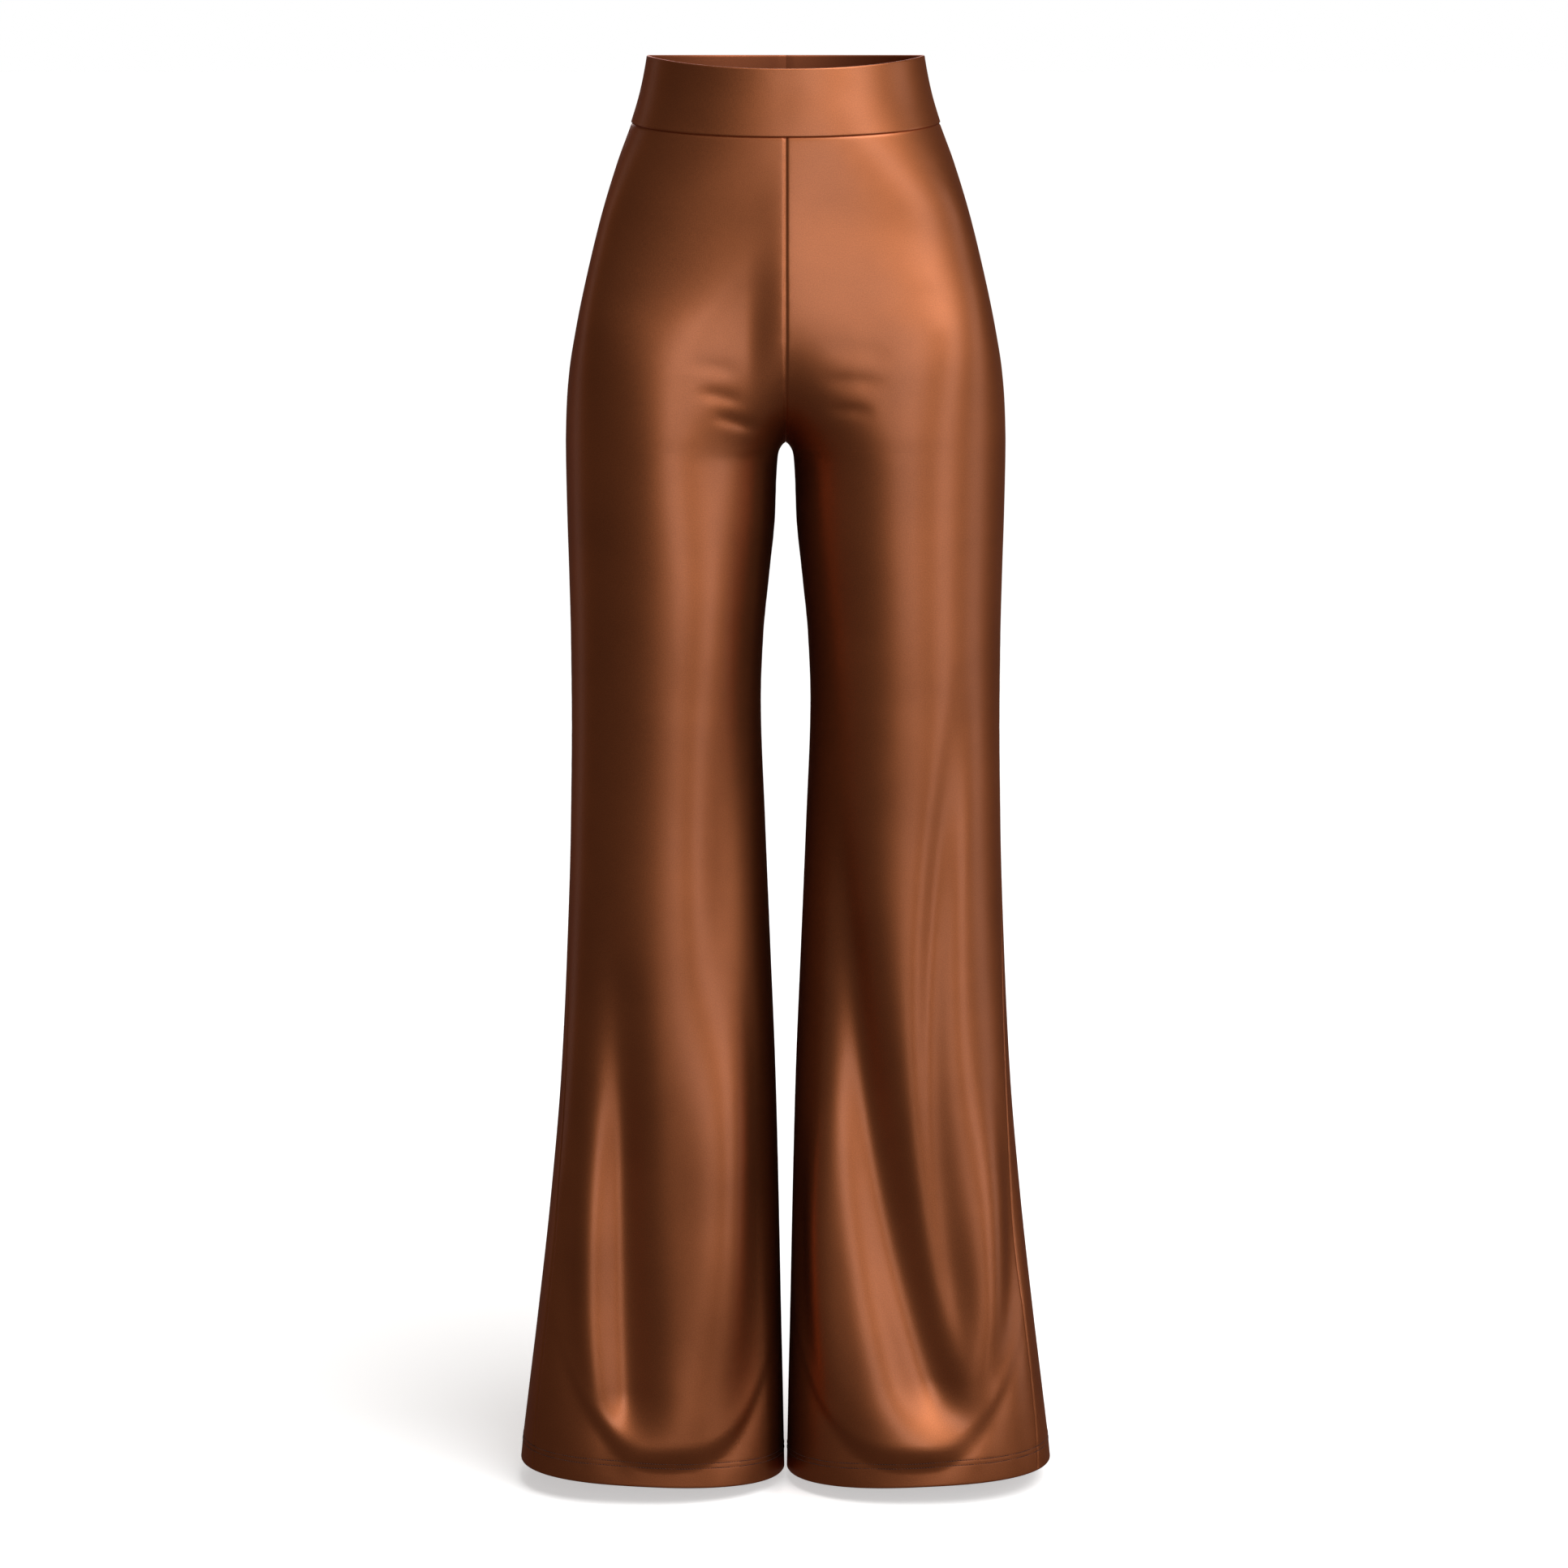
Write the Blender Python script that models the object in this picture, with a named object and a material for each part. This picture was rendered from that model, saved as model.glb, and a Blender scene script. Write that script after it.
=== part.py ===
"""High-waisted trousers with legs that flare from the knee, in their worn form with nobody inside.

Seven cut pieces of cloth stand as separate thin walls: a front and two back waistband pieces,
and a front and a back panel for each leg. Every wall is a loft through the garment's own
sections, which the tables below give in real millimetres.

Frame: metres, +Z up, the front of the garment faces -Y and the wearer's left is +X.
The origin is the centre of the waist, halfway up the waistband, where the wearer holds it.
"""

import math

import bmesh
import bpy

MM = 0.001

# Driving dimensions, in millimetres. A drop is a height measured down from the waistband's top.
ORIGIN_DROP = 27.0
BAND_SEAM_DROP = 50.5
CROTCH_DROP = 297.5
HEM_DROP = 1125.0
FRONT_DIP = 10.0  # the waistband's edges lie this much lower at the centre front
FRONT_DIP_FADE = 130.0
HEM_SLOPE = 5.0  # the hem rises this much at the outer side, and as much at the front
HEM_SLOPE_FADE = 170.0
CLOTH = 1.3
BAND = 2.6  # the waistband is folded double
BAND_PROUD = 0.7
BAND_EDGE = 0.5  # how much the waistband's top edge is rounded over on each face
HEM_TURN_UP = 22.0
HEM_THICKNESS = 2.6
SEAM_HALF_GAP = 0.17
FOLD_CLEARANCE = 30.0  # folds die away this near the centre seams

# The garment's sections, one loop to a leg. The two loops overlap into one torso above the crotch.
# side is half the overall width and front and back are the depths either side of the side seams.
# crest is where a loop is deepest, and inner is its inner edge, which is negative where the loops
# overlap. Both are from the middle plane. The squares are superellipse powers. keel is the share
# of its depth the front loses from the middle to the sides, and soft rounds the fork between the
# legs and the valley over it.
SECTION_COLUMNS = (
    "drop", "side", "crest", "inner", "front", "back", "front_square", "back_square", "keel", "soft",
)
SECTIONS = (
    (-10.0, 105.0, 0.0, -105.0, 83.0, 83.0, 2.10, 2.10, 0.0, 8.0),
    (0.0, 106.3, 0.0, -106.0, 84.0, 84.0, 2.10, 2.10, 0.0, 8.0),
    (25.0, 111.2, 0.0, -111.0, 86.0, 87.0, 2.12, 2.10, 0.0, 8.0),
    (50.0, 118.6, 0.0, -118.0, 89.0, 92.0, 2.25, 2.10, 0.02, 8.0),
    (80.0, 129.6, 0.0, -129.0, 91.5, 99.0, 2.80, 2.15, 0.08, 8.0),
    (125.0, 143.2, 2.0, -143.0, 93.5, 109.0, 4.00, 2.20, 0.18, 8.0),
    (175.0, 155.4, 34.0, -128.0, 94.5, 117.0, 4.00, 2.25, 0.12, 8.0),
    (210.0, 162.8, 60.0, -95.0, 94.5, 120.5, 3.30, 2.25, 0.03, 8.0),
    (240.0, 168.0, 70.0, -62.0, 94.0, 120.5, 2.70, 2.25, 0.0, 7.5),
    (265.0, 170.4, 76.0, -32.0, 93.2, 117.5, 2.40, 2.22, 0.0, 6.0),
    (285.0, 171.3, 80.0, -9.0, 92.3, 112.5, 2.26, 2.20, 0.0, 4.0),
    (297.5, 171.6, 82.0, 0.0, 91.5, 108.7, 2.20, 2.18, 0.0, 3.0),
    (306.0, 171.6, 83.0, 3.7, 91.0, 106.0, 2.17, 2.17, 0.0, 2.6),
    (325.0, 171.4, 84.5, 5.5, 89.8, 101.0, 2.15, 2.15, 0.0, 2.0),
    (355.0, 170.9, 85.5, 6.5, 88.0, 95.5, 2.12, 2.12, 0.0, 2.0),
    (400.0, 169.8, 87.0, 10.9, 85.5, 90.0, 2.10, 2.10, 0.0, 2.0),
    (450.0, 168.9, 88.5, 15.7, 83.0, 86.0, 2.10, 2.10, 0.0, 2.0),
    (500.0, 168.7, 90.5, 17.6, 80.0, 82.0, 2.10, 2.10, 0.0, 2.0),
    (600.0, 170.2, 91.0, 14.2, 76.0, 76.0, 2.10, 2.10, 0.0, 2.0),
    (700.0, 173.9, 91.0, 10.2, 75.5, 75.0, 2.15, 2.12, 0.0, 2.0),
    (800.0, 179.3, 92.0, 6.3, 76.5, 76.5, 2.40, 2.20, 0.0, 2.0),
    (900.0, 188.3, 95.0, 3.9, 78.5, 80.0, 2.70, 2.35, 0.0, 2.0),
    (1000.0, 199.8, 100.0, 2.1, 81.0, 84.5, 2.80, 2.45, 0.0, 2.0),
    (1060.0, 207.4, 104.0, 1.0, 83.5, 87.0, 2.70, 2.35, 0.0, 2.0),
    (1100.0, 212.4, 106.5, 0.5, 84.5, 88.0, 2.50, 2.15, 0.0, 2.0),
    (1140.0, 216.8, 108.0, 0.1, 85.5, 88.5, 2.20, 2.05, 0.0, 2.0),
)

# Turns are degrees round a leg: 0 at the inseam, 90 at the front, 180 at the outer side,
# 270 at the back. Both lower seams lie a little to the front.
SEAM_COLUMNS = ("drop", "inseam", "side_seam")
SEAMS = (
    (0.0, 0.0, 180.0),
    (400.0, 0.0, 180.0),
    (600.0, 5.0, 172.0),
    (850.0, 9.0, 153.0),
    (1000.0, 9.0, 148.0),
    (1140.0, 8.0, 148.0),
)

# The largest folds. leg is 1 for the wearer's left and -1 for the right. A fold's crest runs
# through three turns from its start to its end. near and far are its half-widths on the side of
# the smaller turns and of the larger ones, and taper is how many times as wide it is at its end.
# rise and fall are the shares of its length it takes to come up and to die away. cup is how far its
# lower end curves up at its half-widths, power is how flat its top is, and height is positive for a
# ridge and negative for a trough.
FOLD_COLUMNS = (
    "leg", "start", "end", "turn_start", "turn_mid", "turn_end",
    "near", "far", "taper", "rise", "fall", "cup", "power", "height",
)
FOLDS = (
    (1, 560.0, 1100.0, 48.0, 70.0, 105.0, 18.0, 20.0, 1.4, 0.5, 0.12, 0.0, 2.0, -17.0),
    (1, 440.0, 900.0, 45.0, 45.0, 45.0, 20.0, 20.0, 1.5, 0.5, 0.5, 0.0, 2.0, -5.0),
    (1, 440.0, 1070.0, 130.0, 105.0, 120.0, 12.0, 16.0, 1.0, 0.4, 0.2, 0.0, 2.0, -6.0),
    (1, 760.0, 1100.0, 44.0, 45.0, 55.0, 12.0, 12.0, 1.2, 0.5, 0.2, 0.0, 2.0, 4.0),
    (1, 780.0, 1130.0, 32.0, 33.0, 72.0, 10.0, 12.0, 1.5, 0.5, 0.2, 0.0, 2.0, -3.0),
    (1, 760.0, 1110.0, 130.0, 128.0, 110.0, 14.0, 14.0, 1.2, 0.5, 0.2, 0.0, 2.0, 4.0),
    (1, 780.0, 1130.0, 142.0, 141.0, 90.0, 12.0, 12.0, 1.4, 0.5, 0.2, 0.0, 2.0, -4.0),
    (1, 860.0, 1110.0, 85.0, 85.0, 85.0, 65.0, 65.0, 1.0, 1.0, 0.1, 60.0, 3.0, 7.0),
    (1, 560.0, 1070.0, 232.0, 246.0, 258.0, 30.0, 22.0, 0.8, 0.7, 0.15, 15.0, 2.2, -14.0),
    (1, 640.0, 1060.0, 318.0, 306.0, 296.0, 20.0, 26.0, 0.8, 0.6, 0.15, 10.0, 2.2, -10.0),
    (1, 860.0, 1175.0, 282.0, 270.0, 262.0, 46.0, 52.0, 0.9, 0.9, 0.3, 30.0, 2.4, 9.0),
    (1, 560.0, 900.0, 284.0, 276.0, 280.0, 30.0, 26.0, 1.0, 0.5, 0.5, 20.0, 2.2, 5.0),
    (-1, 90.0, 430.0, 78.0, 70.0, 58.0, 36.0, 36.0, 1.0, 0.4, 0.4, 0.0, 2.0, -5.0),
    (-1, 640.0, 1100.0, 120.0, 112.0, 98.0, 18.0, 16.0, 1.2, 0.5, 0.12, 0.0, 2.0, -14.0),
    (-1, 440.0, 840.0, 55.0, 55.0, 60.0, 20.0, 20.0, 1.5, 0.5, 0.5, 0.0, 2.0, -5.0),
    (-1, 700.0, 1140.0, 36.0, 37.0, 60.0, 14.0, 14.0, 2.0, 0.5, 0.25, 0.0, 2.0, -9.0),
    (-1, 700.0, 1060.0, 60.0, 60.0, 65.0, 24.0, 24.0, 1.2, 0.5, 0.4, 0.0, 2.0, 5.0),
    (-1, 760.0, 1110.0, 128.0, 124.0, 110.0, 12.0, 12.0, 1.2, 0.5, 0.2, 0.0, 2.0, 4.0),
    (-1, 820.0, 1130.0, 140.0, 133.0, 98.0, 10.0, 14.0, 1.2, 0.5, 0.2, 0.0, 2.0, -3.0),
    (-1, 860.0, 1110.0, 80.0, 80.0, 80.0, 65.0, 65.0, 1.0, 1.0, 0.1, 60.0, 3.0, 7.0),
    (-1, 580.0, 1062.0, 300.0, 288.0, 276.0, 22.0, 30.0, 0.8, 0.7, 0.15, 15.0, 2.2, -14.0),
    (-1, 660.0, 1070.0, 222.0, 232.0, 240.0, 24.0, 20.0, 0.8, 0.6, 0.15, 10.0, 2.2, -10.0),
    (-1, 840.0, 1180.0, 258.0, 268.0, 274.0, 50.0, 44.0, 0.9, 0.9, 0.3, 30.0, 2.4, 9.0),
    (-1, 520.0, 880.0, 250.0, 262.0, 258.0, 26.0, 30.0, 1.0, 0.5, 0.5, 20.0, 2.2, 5.0),
)

PANEL_COLUMNS = 20
BAND_FRONT_COLUMNS = 24
BAND_BACK_COLUMNS = 12
ROWS_ABOVE_CROTCH = 13
CROTCH_ROWS = 6
CROTCH_ROW_STEP = 1.1
LEG_ROW_SPACING = 34.0
LOWER_LEG_ROWS = 7
LOWER_LEG_HEIGHT = 130.0
BAND_ROWS = (0.0, 1.0, 17.0, 34.0)

SATIN_COLOUR = (0.42, 0.18, 0.09, 1.0)
SATIN_ROUGHNESS = 0.42
SATIN_METALLIC = 0.6


def smooth(t):
    """Eases from 0 to 1 as t goes from 0 to 1."""
    t = min(max(t, 0.0), 1.0)
    return t * t * (3.0 - 2.0 * t)


def column_curve(columns, rows, name):
    """A smooth function of drop through one column of a table, which never overshoots it."""
    place = columns.index(name)
    xs = [row[0] for row in rows]
    ys = [row[place] for row in rows]
    slopes = [(ys[i + 1] - ys[i]) / (xs[i + 1] - xs[i]) for i in range(len(xs) - 1)]
    tangents = [slopes[0]]
    for before, after in zip(slopes, slopes[1:]):
        if before * after <= 0.0:
            tangents.append(0.0)
        else:
            tangents.append(2.0 * before * after / (before + after))
    tangents.append(slopes[-1])

    def value(drop):
        if drop <= xs[0]:
            return ys[0]
        if drop >= xs[-1]:
            return ys[-1]
        i = next(k for k in range(len(slopes)) if drop <= xs[k + 1])
        width = xs[i + 1] - xs[i]
        t = (drop - xs[i]) / width
        return (
            ys[i] * (1 + 2 * t) * (1 - t) ** 2
            + ys[i + 1] * t * t * (3 - 2 * t)
            + width * t * (1 - t) * (tangents[i] * (1 - t) - tangents[i + 1] * t)
        )

    return value


section = {name: column_curve(SECTION_COLUMNS, SECTIONS, name) for name in SECTION_COLUMNS[1:]}
seam = {name: column_curve(SEAM_COLUMNS, SEAMS, name) for name in SEAM_COLUMNS[1:]}


def unsoftened(x, soft):
    """The x that the rounding of the fork moves out to x."""
    return math.sqrt(x * x + soft * soft) - soft


def loop_at(drop):
    """One leg's loop at a drop: where it is deepest, and how wide it is inside and outside that."""
    outer = unsoftened(section["side"](drop), section["soft"](drop))
    crest = section["crest"](drop)
    return crest, crest - section["inner"](drop), outer - crest


def base_point(drop, turn):
    """A point of the smooth garment, without folds, on the wearer's left leg."""
    crest, inside, outside = loop_at(drop)
    soft = section["soft"](drop)
    along, across = math.cos(math.radians(turn)), math.sin(math.radians(turn))
    side = "front" if across > 0.0 else "back"
    power = section[side + "_square"](drop)
    reach = (abs(along) ** power + abs(across) ** power) ** (-1.0 / power)
    x = max(crest - (inside if along > 0.0 else outside) * reach * along, 0.0)
    depth = section[side](drop)
    if side == "front":
        depth *= 1.0 - section["keel"](drop) * x / (crest + outside)
    return (math.sqrt(x * x + 2.0 * soft * x), -depth * reach * across)


def fold_height(leg, drop, turn):
    """How far the folds move the cloth out at a place on one leg."""
    _, inside, outside = loop_at(drop)
    radius = (inside + outside) / 4 + section["front"](drop) / 2
    total = 0.0
    for row in FOLDS:
        fold = dict(zip(FOLD_COLUMNS, row))
        if fold["leg"] != leg:
            continue
        t = min(max((drop - fold["start"]) / (fold["end"] - fold["start"]), 0.0), 1.0)
        bow = fold["turn_mid"] - (fold["turn_start"] + fold["turn_end"]) / 2
        crest = fold["turn_start"] * (1 - t) + fold["turn_end"] * t + 4 * bow * t * (1 - t)
        width = fold["near" if turn < crest else "far"] * (1 - t + fold["taper"] * t)
        across = abs(math.radians(turn - crest)) * radius / width
        lower = drop + fold["cup"] * t * min(across, 1.5) ** fold["power"]
        t = (lower - fold["start"]) / (fold["end"] - fold["start"])
        fade = smooth(t / fold["rise"]) * smooth((1 - t) / fold["fall"])
        total += fold["height"] * fade * math.exp(-(across ** fold["power"]))
    return total


def edge_shift(drop, turn):
    """How much lower than its row a point lies, so that the waistband's edges dip and the hem slopes."""
    angle = math.radians(turn)
    front = max(math.sin(angle), 0.0)
    waist = 1.0 - smooth((drop - BAND_SEAM_DROP) / FRONT_DIP_FADE)
    hem = smooth((drop - HEM_DROP + HEM_SLOPE_FADE) / HEM_SLOPE_FADE)
    return FRONT_DIP * front**1.7 * waist + HEM_SLOPE * (math.cos(angle) - math.sin(angle)) * hem


def point(leg, drop, turn, out=0.0):
    """A point of the garment's outer face in millimetres, as (x, y, drop)."""
    place = drop + edge_shift(drop, turn)
    x, y = base_point(place, turn)
    ahead, behind = base_point(place, turn + 0.5), base_point(place, turn - 0.5)
    run = (ahead[0] - behind[0], ahead[1] - behind[1])
    length = math.hypot(*run) or 1.0
    clear = smooth(x / FOLD_CLEARANCE + max(place - CROTCH_DROP, 0.0) / (2.0 * FOLD_CLEARANCE))
    lift = fold_height(leg, place, turn) * clear + out
    return (x + run[1] / length * lift, y - run[0] / length * lift, place)


def inward(leg, drop, turn, out=0.0):
    """The unit normal that points from the outer face into the garment."""
    ahead, behind = point(leg, drop, turn + 0.5, out), point(leg, drop, turn - 0.5, out)
    below, above = point(leg, drop + 0.5, turn, out), point(leg, drop - 0.5, turn, out)
    u = [a - b for a, b in zip(below, above)]
    v = [a - b for a, b in zip(ahead, behind)]
    normal = (u[1] * v[2] - u[2] * v[1], u[2] * v[0] - u[0] * v[2], u[0] * v[1] - u[1] * v[0])
    length = math.sqrt(sum(n * n for n in normal))
    return [n / length for n in normal]


def middle_turn(drop, side):
    """The turn at which the loop meets the middle plane, or 0 where it stays clear of it."""
    crest, inside, _ = loop_at(drop)
    power = section[side + "_square"](drop)
    along = max(crest - unsoftened(SEAM_HALF_GAP, section["soft"](drop)), 0.0) / inside
    if along >= 1.0:
        return 0.0
    return math.degrees(math.atan2((1.0 - along**power) ** (1.0 / power), along))


def gap_turn(leg, drop, turn):
    """Half a seam's gap as an angle, at a seam between two panels."""
    a, b = point(leg, drop, turn - 0.5), point(leg, drop, turn + 0.5)
    return SEAM_HALF_GAP / math.dist(a, b)


def front_turns(leg, drop):
    """Where the front panel starts and ends, going round from the middle to the outer side."""
    start = middle_turn(drop + edge_shift(drop, 90.0), "front")
    end = seam["side_seam"](drop)
    if start == 0.0:
        start = seam["inseam"](drop) + gap_turn(leg, drop, seam["inseam"](drop))
    return start, end - gap_turn(leg, drop, end)


def back_turns(leg, drop):
    """Where the back panel starts and ends, going round from the outer side to the middle."""
    start, end = seam["side_seam"](drop), 360.0 - middle_turn(drop, "back")
    if end == 360.0:
        end = 360.0 + seam["inseam"](drop)
        end -= gap_turn(leg, drop, end)
    return start + gap_turn(leg, drop, start), end


def panel_drops():
    """The rows of a leg panel, closer together at the crotch and near the hem."""
    top = BAND_SEAM_DROP + SEAM_HALF_GAP
    rise = CROTCH_DROP - top
    above = [CROTCH_DROP - rise * (i / ROWS_ABOVE_CROTCH) ** 2 for i in range(ROWS_ABOVE_CROTCH, -1, -1)]
    near = [CROTCH_DROP + CROTCH_ROW_STEP * i * i for i in range(1, CROTCH_ROWS + 1)]
    lower = HEM_DROP - LOWER_LEG_HEIGHT
    count = round((lower - near[-1]) / LEG_ROW_SPACING)
    leg = [near[-1] + (lower - near[-1]) * i / count for i in range(1, count + 1)]
    turn_up = HEM_DROP - HEM_TURN_UP
    last = [lower + (turn_up - lower) * i / LOWER_LEG_ROWS for i in range(1, LOWER_LEG_ROWS)]
    return above + near + leg + last + [turn_up - 2.0, turn_up, HEM_DROP]


def panel_thickness(drop):
    """One layer of cloth, and two where the hem is turned up."""
    return HEM_THICKNESS if drop >= HEM_DROP - HEM_TURN_UP else CLOTH


def to_frame(leg, place):
    """Millimetres on a leg, as metres in the garment's frame."""
    return (leg * place[0] * MM, place[1] * MM, (ORIGIN_DROP - place[2]) * MM)


def satin(name):
    """Bronze satin cloth, for one piece."""
    material = bpy.data.materials.new(name + "_satin")
    material.use_nodes = True
    shader = material.node_tree.nodes["Principled BSDF"]
    shader.inputs["Base Color"].default_value = SATIN_COLOUR
    shader.inputs["Roughness"].default_value = SATIN_ROUGHNESS
    shader.inputs["Metallic"].default_value = SATIN_METALLIC
    return material


def cloth_wall(name, outer, inner, collection):
    """A closed wall lofted between an outer and an inner grid of points."""
    mesh = bmesh.new()
    rows, columns = len(outer), len(outer[0])
    layers = [[[mesh.verts.new(place) for place in row] for row in grid] for grid in (outer, inner)]
    for grid in layers:
        for i in range(rows - 1):
            for j in range(columns - 1):
                mesh.faces.new((grid[i][j], grid[i][j + 1], grid[i + 1][j + 1], grid[i + 1][j]))
    rim = [(0, j) for j in range(columns - 1)]
    rim += [(i, columns - 1) for i in range(rows - 1)]
    rim += [(rows - 1, j) for j in range(columns - 1, 0, -1)]
    rim += [(i, 0) for i in range(rows - 1, 0, -1)]
    for (i, j), (k, m) in zip(rim, rim[1:] + rim[:1]):
        mesh.faces.new((layers[0][i][j], layers[0][k][m], layers[1][k][m], layers[1][i][j]))
    bmesh.ops.recalc_face_normals(mesh, faces=mesh.faces)
    data = bpy.data.meshes.new(name)
    mesh.to_mesh(data)
    mesh.free()
    data.materials.append(satin(name))
    data.shade_smooth()
    data.set_sharp_from_angle(angle=math.radians(40.0))
    piece = bpy.data.objects.new(name, data)
    collection.objects.link(piece)
    return piece


def leg_panel(name, leg, turns, collection):
    """A front or back panel of one leg, from the waistband to the hem."""
    outer, inner = [], []
    for drop in panel_drops():
        first, last = turns(leg, drop)
        places = [first + (last - first) * j / PANEL_COLUMNS for j in range(PANEL_COLUMNS + 1)]
        thickness = panel_thickness(drop)
        outside = [point(leg, drop, turn) for turn in places]
        into = [inward(leg, drop, turn) for turn in places]
        edge = SEAM_HALF_GAP if middle_turn(drop, "front") > 0.0 else 0.0
        inside = [[p + thickness * n for p, n in zip(*pair)] for pair in zip(outside, into)]
        outer.append([to_frame(leg, (max(p[0], edge), p[1], p[2])) for p in outside])
        inner.append([to_frame(leg, (max(p[0], edge), p[1], p[2])) for p in inside])
    return cloth_wall(name, outer, inner, collection)


def band_piece(name, turns, columns, collection):
    """A piece of the waistband. Its turns run from the wearer's right side, 0, over the front to
    the left side, 180, and on over the back."""
    first, last = turns
    outer, inner = [], []
    for drop in (*BAND_ROWS, BAND_SEAM_DROP - SEAM_HALF_GAP):
        outside, inside = [], []
        edge_round = BAND_EDGE if drop == 0.0 else 0.0
        for j in range(columns + 1):
            turn = first + (last - first) * j / columns
            leg = 1 if 90.0 < turn <= 270.0 else -1
            leg_turn = turn if leg == 1 else 180.0 - turn
            place = point(leg, drop, leg_turn, BAND_PROUD - edge_round)
            into = inward(leg, drop, leg_turn, BAND_PROUD - edge_round)
            back = [p + (BAND - 2.0 * edge_round) * n for p, n in zip(place, into)]
            middle = SEAM_HALF_GAP if turn > 180.0 else 0.0
            outside.append(to_frame(leg, (max(place[0], middle), place[1], place[2])))
            inside.append(to_frame(leg, (max(back[0], middle), back[1], back[2])))
        outer.append(outside)
        inner.append(inside)
    return cloth_wall(name, outer, inner, collection)


def build():
    """Clears the scene and makes the seven pieces."""
    for thing in list(bpy.data.objects):
        bpy.data.objects.remove(thing)
    collection = bpy.data.collections.new("flared_trousers")
    bpy.context.scene.collection.children.link(collection)
    gap = gap_turn(1, ORIGIN_DROP, 180.0)
    for name, turns, columns in (
        ("waistband_front", (gap, 180.0 - gap), BAND_FRONT_COLUMNS),
        ("waistband_back_left", (180.0 + gap, 270.0), BAND_BACK_COLUMNS),
        ("waistband_back_right", (270.001, 360.0 - gap), BAND_BACK_COLUMNS),
    ):
        band_piece(name, turns, columns, collection)
    for side, leg in (("left", 1), ("right", -1)):
        leg_panel(f"front_panel_{side}", leg, front_turns, collection)
        leg_panel(f"back_panel_{side}", leg, back_turns, collection)


build()
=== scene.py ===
"""High-waisted satin trousers that flare from the knee, in their worn form with nobody inside.

Each of the seven cut pieces is a thin shell with folds, drag creases and rolled seam edges, and
the panels end in a turned-up, stitched hem. Shapes are in millimetres until to_frame turns them
into metres. The cuts, the lights, the stage and the camera are in metres.
"""

import math

import bpy
import mathutils
import numpy as np
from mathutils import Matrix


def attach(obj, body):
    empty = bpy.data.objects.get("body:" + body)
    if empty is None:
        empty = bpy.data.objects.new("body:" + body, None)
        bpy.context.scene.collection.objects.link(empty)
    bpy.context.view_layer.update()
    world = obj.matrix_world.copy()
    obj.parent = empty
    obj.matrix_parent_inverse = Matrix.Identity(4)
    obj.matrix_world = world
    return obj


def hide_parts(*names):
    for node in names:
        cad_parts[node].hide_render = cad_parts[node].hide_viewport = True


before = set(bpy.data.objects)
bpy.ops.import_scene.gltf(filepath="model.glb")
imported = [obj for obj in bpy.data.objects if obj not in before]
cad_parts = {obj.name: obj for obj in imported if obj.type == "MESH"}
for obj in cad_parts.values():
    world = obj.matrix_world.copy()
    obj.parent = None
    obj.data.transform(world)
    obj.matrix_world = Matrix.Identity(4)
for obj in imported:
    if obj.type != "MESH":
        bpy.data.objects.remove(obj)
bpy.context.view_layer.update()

# Driving dimensions. A drop is a height measured down from the waistband's top.
ORIGIN_DROP = 27.0
BAND_SEAM_DROP = 50.5
CROTCH_DROP = 297.5
HEM_DROP = 1125.0
FRONT_DIP = 10.0
FRONT_DIP_FADE = 130.0
HEM_SLOPE = 5.0
HEM_SLOPE_FADE = 170.0
FLOOR_DROP = 1136.0
FOLD_CLEARANCE = 30.0  # folds die away this near the centre seams

CLOTH = 1.2
BAND = 2.4
BAND_PROUD = 0.7  # how far the waistband stands out over the panels
BAND_TOP_DROP = -0.85
BAND_EDGE_ROLL = 1.6  # how far its lower edge rolls in, in BAND_PROUDs
BAND_EDGE_REACH = 0.4
PANEL_TUCK_REACH = 1.2  # how far below that edge the panels come out level
HEM_TURN_UP = 22.0
HEM_THICKNESS = 2.4
SEAM_ROLL = 0.7  # how far a sewn edge rolls in
SEAM_REACH = 0.8  # how far from the edge it does so
ROLL_POWER = 1.5  # how sharply the rolls die away

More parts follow.
